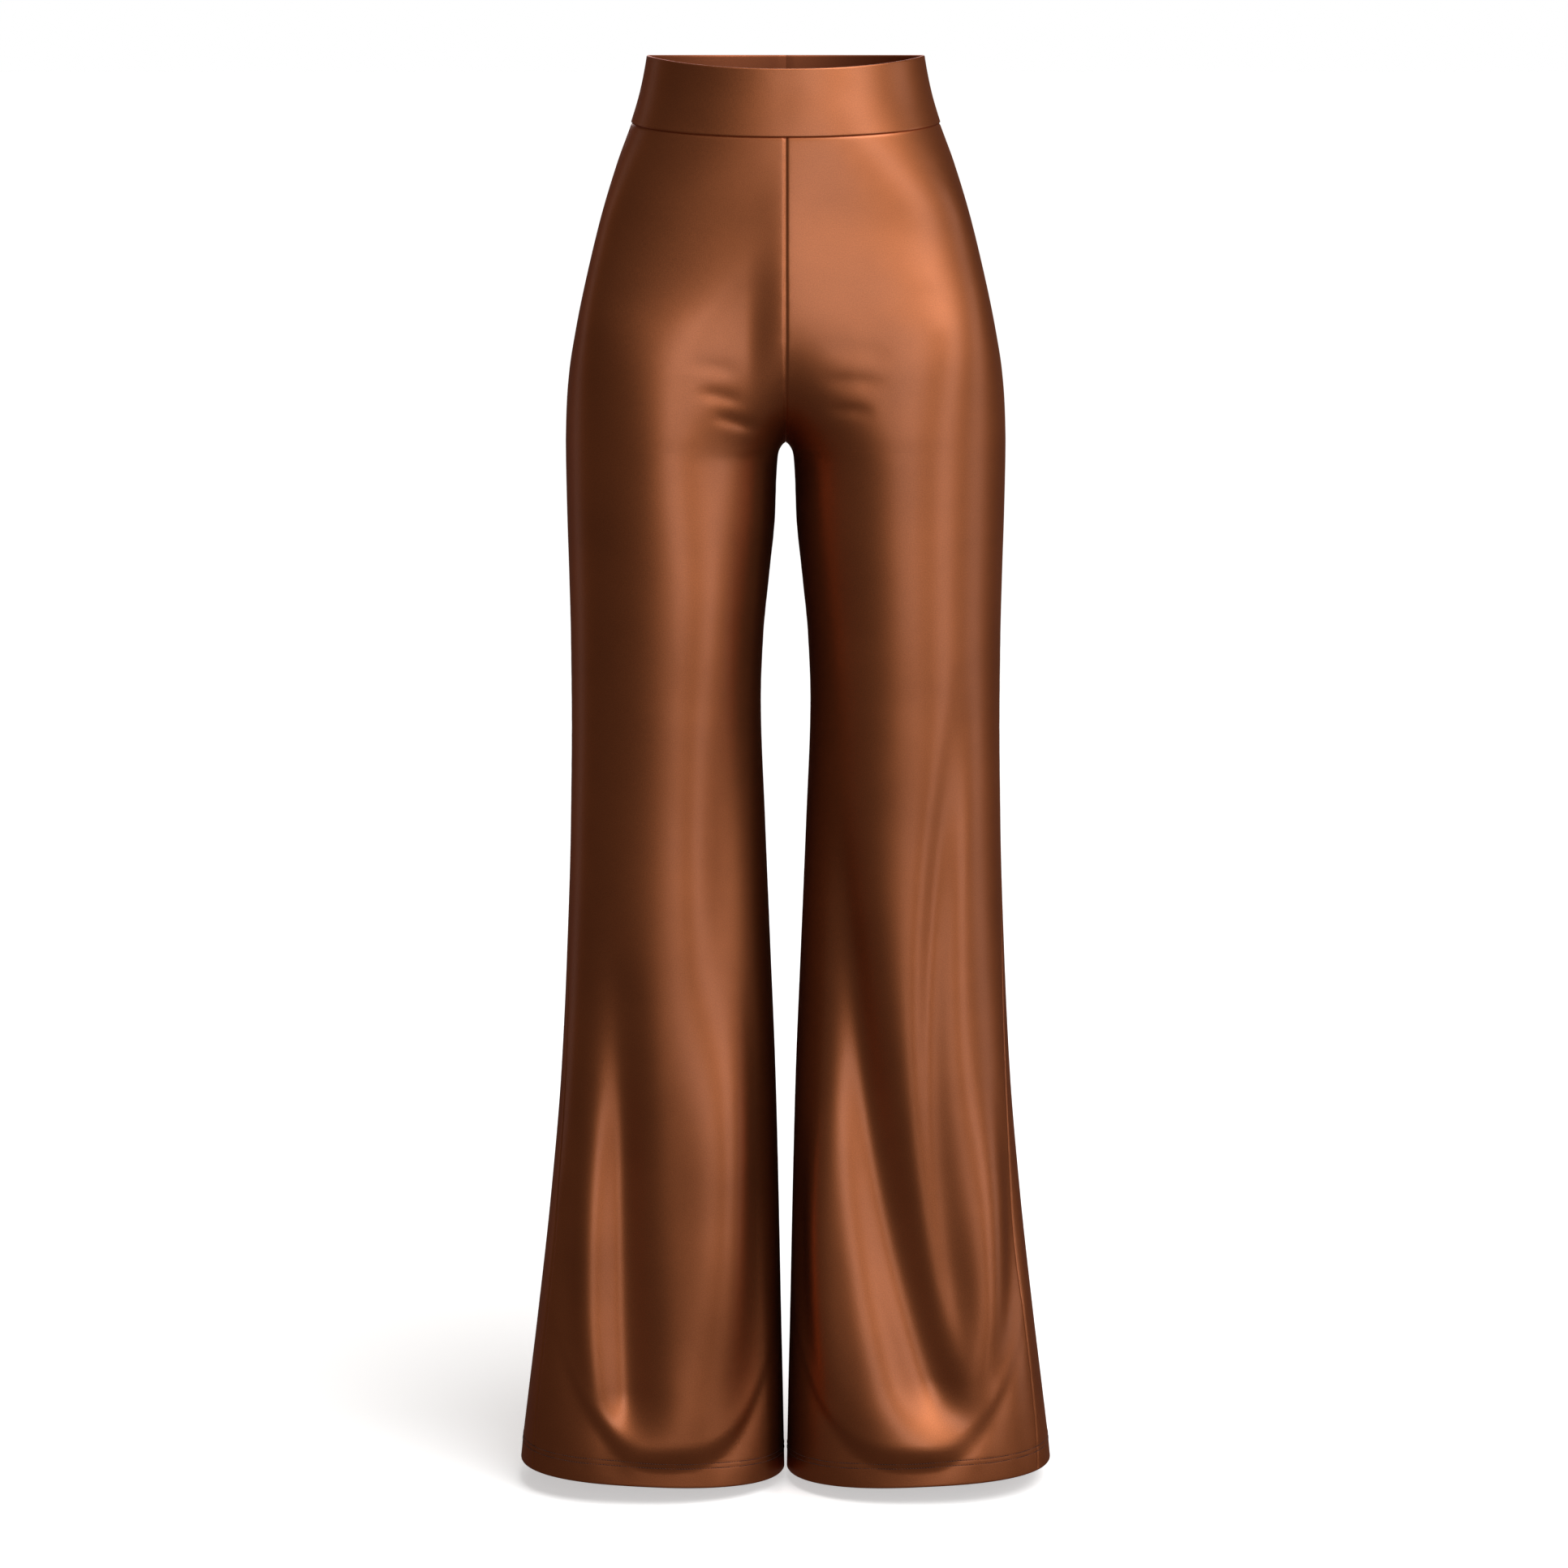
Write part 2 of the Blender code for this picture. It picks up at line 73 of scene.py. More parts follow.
# The garment's sections, one loop to a leg. The two loops overlap into one torso above the crotch.
# side is half the overall width and front and back are the depths either side of the side seams.
# crest is where a loop is deepest and inner is its inner edge, both from the middle plane. The
# squares are superellipse powers. keel is the share of its depth the front loses towards the
# sides, and soft rounds the fork between the legs and the valley over it.
SECTION_COLUMNS = (
    "drop", "side", "crest", "inner", "front", "back", "front_square", "back_square", "keel", "soft",
)
SECTIONS = (
    (-10.0, 105.0, 0.0, -105.0, 83.0, 83.0, 2.10, 2.10, 0.0, 8.0),
    (0.0, 106.3, 0.0, -106.0, 84.0, 84.0, 2.10, 2.10, 0.0, 8.0),
    (25.0, 111.2, 0.0, -111.0, 86.0, 87.0, 2.12, 2.10, 0.0, 8.0),
    (50.0, 118.6, 0.0, -118.0, 89.0, 92.0, 2.25, 2.10, 0.02, 8.0),
    (80.0, 129.6, 0.0, -129.0, 91.5, 99.0, 2.80, 2.15, 0.08, 8.0),
    (125.0, 143.2, 2.0, -143.0, 93.5, 109.0, 4.00, 2.20, 0.18, 8.0),
    (175.0, 155.4, 34.0, -128.0, 94.5, 117.0, 4.00, 2.25, 0.12, 8.0),
    (210.0, 162.8, 60.0, -95.0, 94.5, 120.5, 3.30, 2.25, 0.03, 8.0),
    (240.0, 168.0, 70.0, -62.0, 94.0, 120.5, 2.70, 2.25, 0.0, 7.5),
    (265.0, 170.4, 76.0, -32.0, 93.2, 117.5, 2.40, 2.22, 0.0, 6.0),
    (285.0, 171.3, 80.0, -9.0, 92.3, 112.5, 2.26, 2.20, 0.0, 4.0),
    (297.5, 171.6, 82.0, 0.0, 91.5, 108.7, 2.20, 2.18, 0.0, 3.0),
    (306.0, 171.6, 83.0, 3.7, 91.0, 106.0, 2.17, 2.17, 0.0, 2.6),
    (325.0, 171.4, 84.5, 5.5, 89.8, 101.0, 2.15, 2.15, 0.0, 2.0),
    (355.0, 170.9, 85.5, 6.5, 88.0, 95.5, 2.12, 2.12, 0.0, 2.0),
    (400.0, 169.8, 87.0, 10.9, 85.5, 90.0, 2.10, 2.10, 0.0, 2.0),
    (450.0, 168.9, 88.5, 15.7, 83.0, 86.0, 2.10, 2.10, 0.0, 2.0),
    (500.0, 168.7, 90.5, 17.6, 80.0, 82.0, 2.10, 2.10, 0.0, 2.0),
    (600.0, 170.2, 91.0, 14.2, 76.0, 76.0, 2.10, 2.10, 0.0, 2.0),
    (700.0, 173.9, 91.0, 10.2, 75.5, 75.0, 2.15, 2.12, 0.0, 2.0),
    (800.0, 179.3, 92.0, 6.3, 76.5, 76.5, 2.40, 2.20, 0.0, 2.0),
    (900.0, 188.3, 95.0, 3.9, 78.5, 80.0, 2.70, 2.35, 0.0, 2.0),
    (1000.0, 199.8, 100.0, 2.1, 81.0, 84.5, 2.80, 2.45, 0.0, 2.0),
    (1060.0, 207.4, 104.0, 1.0, 83.5, 87.0, 2.70, 2.35, 0.0, 2.0),
    (1100.0, 212.4, 106.5, 0.5, 84.5, 88.0, 2.50, 2.15, 0.0, 2.0),
    (1140.0, 216.8, 108.0, 0.1, 85.5, 88.5, 2.20, 2.05, 0.0, 2.0),
)

# Turns are degrees round a leg: 0 at the inseam, 90 at the front, 180 at the outer side,
# 270 at the back. Both lower seams lie a little to the front.
SEAM_COLUMNS = ("drop", "inseam", "side_seam")
SEAMS = (
    (0.0, 0.0, 180.0),
    (400.0, 0.0, 180.0),
    (600.0, 5.0, 172.0),
    (850.0, 9.0, 153.0),
    (1000.0, 9.0, 148.0),
    (1140.0, 8.0, 148.0),
)

# The folds down the legs. leg is 1 for the wearer's left and -1 for the right. A fold's crest runs
# through three turns from its start to its end. near and far are its half-widths on the side of
# the smaller turns and of the larger ones, and taper is how many times as wide it is at its end.
# rise and fall are the shares of its length it takes to come up and to die away. cup is how far its
# lower end curves up at its half-widths, power is how flat its top is, and height is positive for a
# ridge and negative for a trough.
FOLD_COLUMNS = (
    "leg", "start", "end", "turn_start", "turn_mid", "turn_end",
    "near", "far", "taper", "rise", "fall", "cup", "power", "height",
)
FOLDS = (
    (1, 560.0, 1100.0, 48.0, 70.0, 105.0, 18.0, 20.0, 1.4, 0.5, 0.12, 0.0, 2.0, -17.0),
    (1, 440.0, 900.0, 45.0, 45.0, 45.0, 20.0, 20.0, 1.5, 0.5, 0.5, 0.0, 2.0, -5.0),
    (1, 440.0, 1070.0, 130.0, 105.0, 120.0, 12.0, 16.0, 1.0, 0.4, 0.2, 0.0, 2.0, -6.0),
    (1, 760.0, 1100.0, 44.0, 45.0, 55.0, 12.0, 12.0, 1.2, 0.5, 0.2, 0.0, 2.0, 4.0),
    (1, 780.0, 1130.0, 32.0, 33.0, 72.0, 10.0, 12.0, 1.5, 0.5, 0.2, 0.0, 2.0, -3.0),
    (1, 760.0, 1110.0, 130.0, 128.0, 110.0, 14.0, 14.0, 1.2, 0.5, 0.2, 0.0, 2.0, 4.0),
    (1, 780.0, 1130.0, 142.0, 141.0, 90.0, 12.0, 12.0, 1.4, 0.5, 0.2, 0.0, 2.0, -4.0),
    (1, 860.0, 1110.0, 85.0, 85.0, 85.0, 65.0, 65.0, 1.0, 1.0, 0.1, 60.0, 3.0, 7.0),
    (1, 560.0, 1070.0, 232.0, 246.0, 258.0, 30.0, 22.0, 0.8, 0.7, 0.15, 15.0, 2.2, -14.0),
    (1, 640.0, 1060.0, 318.0, 306.0, 296.0, 20.0, 26.0, 0.8, 0.6, 0.15, 10.0, 2.2, -10.0),
    (1, 860.0, 1175.0, 282.0, 270.0, 262.0, 46.0, 52.0, 0.9, 0.9, 0.3, 30.0, 2.4, 9.0),
    (1, 560.0, 900.0, 284.0, 276.0, 280.0, 30.0, 26.0, 1.0, 0.5, 0.5, 20.0, 2.2, 5.0),
    (-1, 90.0, 430.0, 78.0, 70.0, 58.0, 36.0, 36.0, 1.0, 0.4, 0.4, 0.0, 2.0, -5.0),
    (-1, 640.0, 1100.0, 120.0, 112.0, 98.0, 18.0, 16.0, 1.2, 0.5, 0.12, 0.0, 2.0, -14.0),
    (-1, 440.0, 840.0, 55.0, 55.0, 60.0, 20.0, 20.0, 1.5, 0.5, 0.5, 0.0, 2.0, -5.0),
    (-1, 700.0, 1140.0, 36.0, 37.0, 60.0, 14.0, 14.0, 2.0, 0.5, 0.25, 0.0, 2.0, -9.0),
    (-1, 700.0, 1060.0, 60.0, 60.0, 65.0, 24.0, 24.0, 1.2, 0.5, 0.4, 0.0, 2.0, 5.0),
    (-1, 760.0, 1110.0, 128.0, 124.0, 110.0, 12.0, 12.0, 1.2, 0.5, 0.2, 0.0, 2.0, 4.0),
    (-1, 820.0, 1130.0, 140.0, 133.0, 98.0, 10.0, 14.0, 1.2, 0.5, 0.2, 0.0, 2.0, -3.0),
    (-1, 860.0, 1110.0, 80.0, 80.0, 80.0, 65.0, 65.0, 1.0, 1.0, 0.1, 60.0, 3.0, 7.0),
    (-1, 580.0, 1062.0, 300.0, 288.0, 276.0, 22.0, 30.0, 0.8, 0.7, 0.15, 15.0, 2.2, -14.0),
    (-1, 660.0, 1070.0, 222.0, 232.0, 240.0, 24.0, 20.0, 0.8, 0.6, 0.15, 10.0, 2.2, -10.0),
    (-1, 840.0, 1180.0, 258.0, 268.0, 274.0, 50.0, 44.0, 0.9, 0.9, 0.3, 30.0, 2.4, 9.0),
    (-1, 520.0, 880.0, 250.0, 262.0, 258.0, 26.0, 30.0, 1.0, 0.5, 0.5, 20.0, 2.2, 5.0),
)

# The small drag creases at the fork and under the seat, as seen from the front or the back. A
# crease runs from (x0, drop0) to (x1, drop1) with its middle sagging by sag. above and below are
# its half-widths.
CREASE_COLUMNS = ("leg", "side", "x0", "drop0", "x1", "drop1", "sag", "above", "below", "height")
CREASES = (
    (-1, "front", 76.0, 231.0, 35.0, 237.0, 1.0, 6.0, 7.0, -0.45),
    (-1, "front", 68.0, 252.0, 30.0, 261.0, 1.0, 5.0, 6.0, -0.8),
    (-1, "front", 55.0, 271.0, 18.0, 282.0, 1.0, 5.0, 6.0, -1.1),
    (1, "front", 30.0, 220.0, 82.0, 222.0, -1.0, 7.0, 8.0, -0.4),
    (1, "front", 26.0, 244.0, 76.0, 245.0, -1.0, 6.0, 7.0, -0.7),
    (1, "front", 30.0, 266.0, 66.0, 267.0, -1.0, 5.0, 6.0, -0.9),
    (-1, "back", 30.0, 309.0, 104.0, 297.0, 5.0, 6.0, 8.0, -1.6),
    (-1, "back", 26.0, 329.0, 84.0, 321.0, 4.0, 6.0, 8.0, -1.2),
    (1, "back", 26.0, 305.0, 92.0, 291.0, 5.0, 6.0, 8.0, -1.8),
    (1, "back", 34.0, 333.0, 106.0, 323.0, 4.0, 6.0, 9.0, -1.1),
)

# How finely the cloth is meshed.
ROW_STEP = 4.0
COLUMN_STEP = 3.6
EDGE_COLUMNS = np.array((0.0, 0.25, 0.55, 1.0, 1.8, 3.2))  # distances from a sewn edge
BAND_COLUMNS_A_DEGREE = 1.1
BAND_DEGREE = 1.8  # about how long a degree of turn is round the waistband
PANEL_WALK = 400  # points that a panel's row is measured with
STITCH_WALK = 3601  # points that a row of stitches is measured with

# The hem's stitches, and the ripples that they and the seams pull into the cloth.
HEM_STITCH_RISES = (16.5, 20.5)  # the twin rows' heights above the hem's edge
STITCH_PITCH = 2.2
STITCH_LENGTH = 1.3
STITCH_RADIUS = 0.30
STITCH_OUT = -0.06  # how far out of the smooth cloth a row lies, before its threads are raised
STITCH_SIDES = 6
# The needle's holes are flat discs of painted shade: how wide they are and how far out of the cloth they
# lie.
NEEDLE_HOLE_RADIUS = 0.42
NEEDLE_HOLE_OUT = 0.04
HEM_RIPPLE = 0.08
HEM_GROOVE = 0.55  # half-width
HEM_PUCKER_REACH = 7.0
HEM_PUCKERS = ((1.0, 23.0, 0.0), (0.6, 41.0, 1.3))  # sizes, waves round a leg, phases
SEAM_RIPPLE = 0.05
SEAM_RIPPLE_REACH = 4.0
SEAM_WAVES = ((1.0, 3.1, 0.0), (0.7, 1.9, 0.8))  # sizes, lengths of a radian, phases

# A thread along its stitch: shares of the length, shares of the radius, and how far it is raised
# in radii.
STITCH_STATIONS = np.array((-0.5, -0.36, 0.0, 0.36, 0.5))
STITCH_SWELL = np.array((0.35, 0.85, 1.0, 0.85, 0.35))
STITCH_RAISED = np.array((-0.5, 0.15, 0.55, 0.15, -0.5))


def smooth(t):
    """Eases from 0 to 1 as t goes from 0 to 1."""
    t = np.clip(t, 0.0, 1.0)
    return t * t * (3.0 - 2.0 * t)


def unit(vectors):
    """The same directions with a length of 1."""
    return vectors / np.linalg.norm(vectors, axis=-1, keepdims=True)


def column_curve(columns, rows, name):
    """A smooth function of drop through one column of a table, which never overshoots it."""
    place = columns.index(name)
    xs = np.array([row[0] for row in rows])
    ys = np.array([row[place] for row in rows])
    slopes = np.diff(ys) / np.diff(xs)
    before, after = slopes[:-1], slopes[1:]
    together = before * after > 0.0
    means = np.where(together, 2.0 * before * after / np.where(together, before + after, 1.0), 0.0)
    tangents = np.concatenate((slopes[:1], means, slopes[-1:]))

    def value(drop):
        drop = np.clip(drop, xs[0], xs[-1])
        i = np.clip(np.searchsorted(xs, drop) - 1, 0, len(slopes) - 1)
        width = xs[i + 1] - xs[i]
        t = (drop - xs[i]) / width
        return (
            ys[i] * (1 + 2 * t) * (1 - t) ** 2
            + ys[i + 1] * t * t * (3 - 2 * t)
            + width * t * (1 - t) * (tangents[i] * (1 - t) - tangents[i + 1] * t)
        )

    return value


section = {name: column_curve(SECTION_COLUMNS, SECTIONS, name) for name in SECTION_COLUMNS[1:]}
seam = {name: column_curve(SEAM_COLUMNS, SEAMS, name) for name in SEAM_COLUMNS[1:]}


def unsoftened(x, soft):
    """The x that the rounding of the fork moves out to x."""
    return np.sqrt(x * x + soft * soft) - soft


def loop_at(drop):
    """One leg's loop at a drop: where it is deepest, and how wide it is inside and outside that."""
    outer = unsoftened(section["side"](drop), section["soft"](drop))
    crest = section["crest"](drop)
    return crest, crest - section["inner"](drop), outer - crest


def base_point(drop, turn):
    """A point of the smooth garment, without folds, on the wearer's left leg."""
    crest, inside, outside = loop_at(drop)
    soft = section["soft"](drop)
    along, across = np.cos(np.radians(turn)), np.sin(np.radians(turn))
    ahead = across > 0.0
    power = np.where(ahead, section["front_square"](drop), section["back_square"](drop))
    reach = (np.abs(along) ** power + np.abs(across) ** power) ** (-1.0 / power)
    x = np.maximum(crest - np.where(along > 0.0, inside, outside) * reach * along, 0.0)
    front = section["front"](drop) * (1.0 - section["keel"](drop) * x / (crest + outside))
    depth = np.where(ahead, front, section["back"](drop))
    return np.sqrt(x * x + 2.0 * soft * x), -depth * reach * across


def fold_height(leg, drop, turn):
    """How far the folds move the cloth out at a place on one leg."""
    _, inside, outside = loop_at(drop)
    radius = (inside + outside) / 4 + section["front"](drop) / 2
    total = 0.0
    for row in FOLDS:
        fold = dict(zip(FOLD_COLUMNS, row))
        if fold["leg"] != leg:
            continue
        t = np.clip((drop - fold["start"]) / (fold["end"] - fold["start"]), 0.0, 1.0)
        bow = fold["turn_mid"] - (fold["turn_start"] + fold["turn_end"]) / 2
        crest = fold["turn_start"] * (1 - t) + fold["turn_end"] * t + 4 * bow * t * (1 - t)
        width = np.where(turn < crest, fold["near"], fold["far"]) * (1 - t + fold["taper"] * t)
        across = np.abs(np.radians(turn - crest)) * radius / width
        lower = drop + fold["cup"] * t * np.minimum(across, 1.5) ** fold["power"]
        t = np.clip((lower - fold["start"]) / (fold["end"] - fold["start"]), 0.0, 1.0)
        fade = smooth(t / fold["rise"]) * smooth((1 - t) / fold["fall"])
        total = total + fold["height"] * fade * np.exp(-(across ** fold["power"]))
    return total


def crease_height(leg, x, y, drop):
    """How far the drag creases move the cloth out at a place on one leg."""
    total = 0.0
    for row in CREASES:
        crease = dict(zip(CREASE_COLUMNS, row))
        if crease["leg"] != leg:
            continue
        run = (crease["x1"] - crease["x0"], crease["drop1"] - crease["drop0"])
        length = math.hypot(*run)
        from_x, from_drop = x - crease["x0"], drop - crease["drop0"]
        t = (from_x * run[0] + from_drop * run[1]) / length**2
        inside = np.clip(t, 0.0, 1.0)
        off = (from_drop * run[0] - from_x * run[1]) / length
        off = off - crease["sag"] * 4 * inside * (1 - inside)
        off = off / np.where(off < 0.0, crease["above"], crease["below"])
        fade = smooth((t + 0.12) / 0.5) * smooth((1.12 - t) / 0.5)
        seen = y < 0.0 if crease["side"] == "front" else y > 0.0
        total = total + np.where(seen, crease["height"] * fade * np.exp(-off * off), 0.0)
    return total


def edge_shift(drop, turn):
    """How much lower than its row a point lies, so that the waistband's edges dip and the hem slopes."""
    angle = np.radians(turn)
    ahead = np.maximum(np.sin(angle), 0.0)
    waist = 1.0 - smooth((drop - BAND_SEAM_DROP) / FRONT_DIP_FADE)
    hem = smooth((drop - HEM_DROP + HEM_SLOPE_FADE) / HEM_SLOPE_FADE)
    return FRONT_DIP * ahead**1.7 * waist + HEM_SLOPE * (np.cos(angle) - np.sin(angle)) * hem


def point(leg, drop, turn, out=0.0):
    """A point of the garment's outer face, as (x, y, drop)."""
    place = drop + edge_shift(drop, turn)
    x, y = base_point(place, turn)
    ahead, behind = base_point(place, turn + 0.5), base_point(place, turn - 0.5)
    run_x, run_y = ahead[0] - behind[0], ahead[1] - behind[1]
    length = np.maximum(np.hypot(run_x, run_y), 1e-9)
    clear = smooth(x / FOLD_CLEARANCE + np.maximum(place - CROTCH_DROP, 0.0) / (2.0 * FOLD_CLEARANCE))
    lift = fold_height(leg, place, turn) * clear + crease_height(leg, x, y, place) + out
    return np.stack((x + run_y / length * lift, y - run_x / length * lift, place), -1)


def inward(leg, drop, turn, out=0.0):
    """The unit normal that points from the outer face into the garment."""
    down = point(leg, drop + 0.5, turn, out) - point(leg, drop - 0.5, turn, out)
    round_leg = point(leg, drop, turn + 0.5, out) - point(leg, drop, turn - 0.5, out)
    return unit(np.cross(down, round_leg))


def middle_turn(drop, side):
    """The turn at which the loop meets the middle plane, or 0 where it stays clear of it."""
    crest, inside, _ = loop_at(drop)
    power = section[side + "_square"](drop)
    along = np.minimum(np.maximum(crest, 0.0) / inside, 1.0)
    turn = np.degrees(np.arctan2((1.0 - along**power) ** (1.0 / power), along))
    return np.where(along >= 1.0, 0.0, turn)


def panel_turns(side, drop):
    """Where a front or back panel starts and ends, going round the leg."""
    inseam, side_seam = seam["inseam"](drop), seam["side_seam"](drop)
    if side == "front":
        middle = middle_turn(drop + edge_shift(drop, 90.0), side)
        return np.where(middle > 0.0, middle, inseam), side_seam
    middle = middle_turn(drop, side)
    return side_seam, 360.0 - np.where(middle > 0.0, middle, -inseam)


def panel_drops():
    """The rows of a leg panel, close together at its sewn top, at the fork and round the hem."""
    top = BAND_SEAM_DROP + np.array((0.0, 0.5, 1.0, 1.7, 2.6))
    rise = CROTCH_DROP - top[0]
    count = int(rise / ROW_STEP * 1.4)
    above = CROTCH_DROP - rise * (np.arange(count, -1, -1) / count) ** 1.7
    near = CROTCH_DROP + 0.4 * np.arange(1, 9) ** 2
    turn_up = HEM_DROP - HEM_TURN_UP
    leg = np.linspace(near[-1], turn_up - 3.0, int((turn_up - near[-1]) / ROW_STEP))[1:]
    hem = np.arange(turn_up - 2.0, HEM_DROP - 2.0, 0.8)
    return np.concatenate((top, above[above > top[-1] + 1.0], near, leg, hem))


def to_frame(leg, places):
    """Millimetres on a leg, as metres in the garment's frame."""
    return np.stack((leg * places[..., 0], places[..., 1], ORIGIN_DROP - places[..., 2]), -1) * 0.001


def hem_ripple(turn, rise):
    """The groove and small puckers that the twin rows of stitching pull into the hem."""
    groove = sum(np.exp(-(((rise - row) / HEM_GROOVE) ** 2)) for row in HEM_STITCH_RISES)
    pucker = sum(
        size * np.sin(np.radians(turn) * count + phase) for size, count, phase in HEM_PUCKERS
    )
    middle = sum(HEM_STITCH_RISES) / len(HEM_STITCH_RISES)
    near = np.exp(-(((rise - middle) / HEM_PUCKER_REACH) ** 2))
    return -HEM_RIPPLE * groove + HEM_RIPPLE * pucker * near


def seam_ripple(drop, reach):
    """The faint unevenness along a sewn edge."""
    wave = sum(size * np.sin(drop / length + phase) for size, length, phase in SEAM_WAVES)
    return SEAM_RIPPLE * wave * np.exp(-((reach / SEAM_RIPPLE_REACH) ** 2))


def panel_grids(leg, side):
    """The outer and the inner face of a leg panel, both rounded into the hem's folded edge."""
    drops = panel_drops()
    first, last = panel_turns(side, drops)
    shares = np.linspace(0.0, 1.0, PANEL_WALK)
    fine = first[:, None] + (last - first)[:, None] * shares[None, :]
    walk = point(leg, np.repeat(drops[:, None], PANEL_WALK, 1), fine)
    steps = np.linalg.norm(np.diff(walk, axis=1), axis=2)
    lengths = np.concatenate((np.zeros((len(drops), 1)), np.cumsum(steps, 1)), 1)
    count = int(lengths[:, -1].max() / COLUMN_STEP)
    turns, reach = [], []
    for row, total in enumerate(lengths[:, -1]):
        middle = np.linspace(EDGE_COLUMNS[-1], total - EDGE_COLUMNS[-1], count + 2)[1:-1]
        places = np.concatenate((EDGE_COLUMNS, middle, (total - EDGE_COLUMNS)[::-1]))
        turns.append(np.interp(places, lengths[row], fine[row]))
        reach.append(np.minimum(places, total - places))
    turns, reach = np.array(turns), np.array(reach)
    rows = np.repeat(drops[:, None], turns.shape[1], 1)
    from_edge = np.minimum(reach, rows - drops[0])
    rise = HEM_DROP - rows
    lift = hem_ripple(turns, rise) + seam_ripple(rows, from_edge)
    lift = lift - SEAM_ROLL * np.exp(-((reach / SEAM_REACH) ** ROLL_POWER))
    lift = lift - BAND_PROUD * np.exp(-(((rows - drops[0]) / PANEL_TUCK_REACH) ** ROLL_POWER))
    outer, into = point(leg, rows, turns), inward(leg, rows, turns)
    # The turn-up's raw edge is a small step inside.
    thickness = CLOTH + (HEM_THICKNESS - CLOTH) * smooth((HEM_TURN_UP + 1.0 - rise) / 1.5)
    inner = outer + into * thickness[..., None]
    outer = outer - into * lift[..., None]
    # The folded edge: the outer face turns under through half a circle and becomes the inner one.
    bend = HEM_THICKNESS / 2
    turned = []
    for angle in np.linspace(0.0, math.pi, 9):
        drop = np.full(turns.shape[1], HEM_DROP - bend * (1.0 - math.sin(angle)))
        base = point(leg, drop, turns[-1])
        turned.append(base + inward(leg, drop, turns[-1]) * (bend * (1.0 - math.cos(angle))))
    outer = np.concatenate((outer, np.array(turned[:5])))
    inner = np.concatenate((inner, np.array(turned[:3:-1])))
    # The centre seams close on the middle plane.
    centre = middle_turn(drops + edge_shift(drops, 90.0) if side == "front" else drops, side) > 0.0
    for face in (outer, inner):
        face[..., 0] = np.maximum(face[..., 0], 0.0)
        face[: len(drops)][centre, 0 if side == "front" else -1, 0] = 0.0
    return to_frame(leg, outer), to_frame(leg, inner)


def band_grids(first, last):
    """The outer and the inner face of a waistband piece.

    Its turns run from the wearer's right side, 0, over the front to the left side, 180, and on
    over the back.
    """
    turns = np.linspace(first, last, int((last - first) * BAND_COLUMNS_A_DEGREE))
    span = np.cumsum(np.concatenate(((0.0,), np.diff(turns)))) * BAND_DEGREE
    from_side = np.minimum(span, span[-1] - span)
    side_roll = SEAM_ROLL * np.exp(-((from_side / SEAM_REACH) ** ROLL_POWER))
    on_left = (turns > 90.0) & (turns <= 270.0)

    def row(drop, depth, roll):
        placed = np.empty((len(turns), 3))
        for leg, here in ((1, on_left), (-1, ~on_left)):
            if here.any():
                leg_turns = turns[here] if leg == 1 else 180.0 - turns[here]
                leg_drops = np.full(here.sum(), drop)
                place = point(leg, leg_drops, leg_turns, BAND_PROUD)
                into = inward(leg, leg_drops, leg_turns, BAND_PROUD)
                placed[here] = to_frame(leg, place + into * (depth + roll[here])[:, None])
        return placed

    outer, inner = [], []
    # The top is folded over: each face bends through a quarter circle to meet the other.
    bend = BAND / 2
    for angle in np.linspace(0.5 * math.pi, 0.0, 5):
        depth = bend * (1.0 - math.cos(angle))
        drop = bend * (1.0 - math.sin(angle)) + BAND_TOP_DROP
        outer.append(row(drop, depth, side_roll * math.cos(angle)))
        inner.append(row(drop, BAND - depth, -side_roll))
    drops = np.concatenate((
        (0.8, 1.5, 2.4),
        np.linspace(4.5, BAND_SEAM_DROP - 4.0, 14),
        BAND_SEAM_DROP - np.array((2.4, 1.4, 0.8, 0.3, 0.0)),
    ))
    for drop in drops:
        from_seam = (BAND_SEAM_DROP - drop) / BAND_EDGE_REACH
        edge_roll = BAND_EDGE_ROLL * BAND_PROUD * math.exp(-(from_seam**ROLL_POWER))
        outer.append(row(drop, edge_roll, side_roll))
        inner.append(row(drop, BAND, -side_roll))
    return np.array(outer), np.array(inner)


def add_object(name, data):
    """A new object in the scene."""
    added = bpy.data.objects.new(name, data)
    bpy.context.scene.collection.objects.link(added)
    return added


def quads(*corners):
    """Faces from four arrays of corner numbers."""
    return np.stack(corners, -1).reshape(-1, 4)


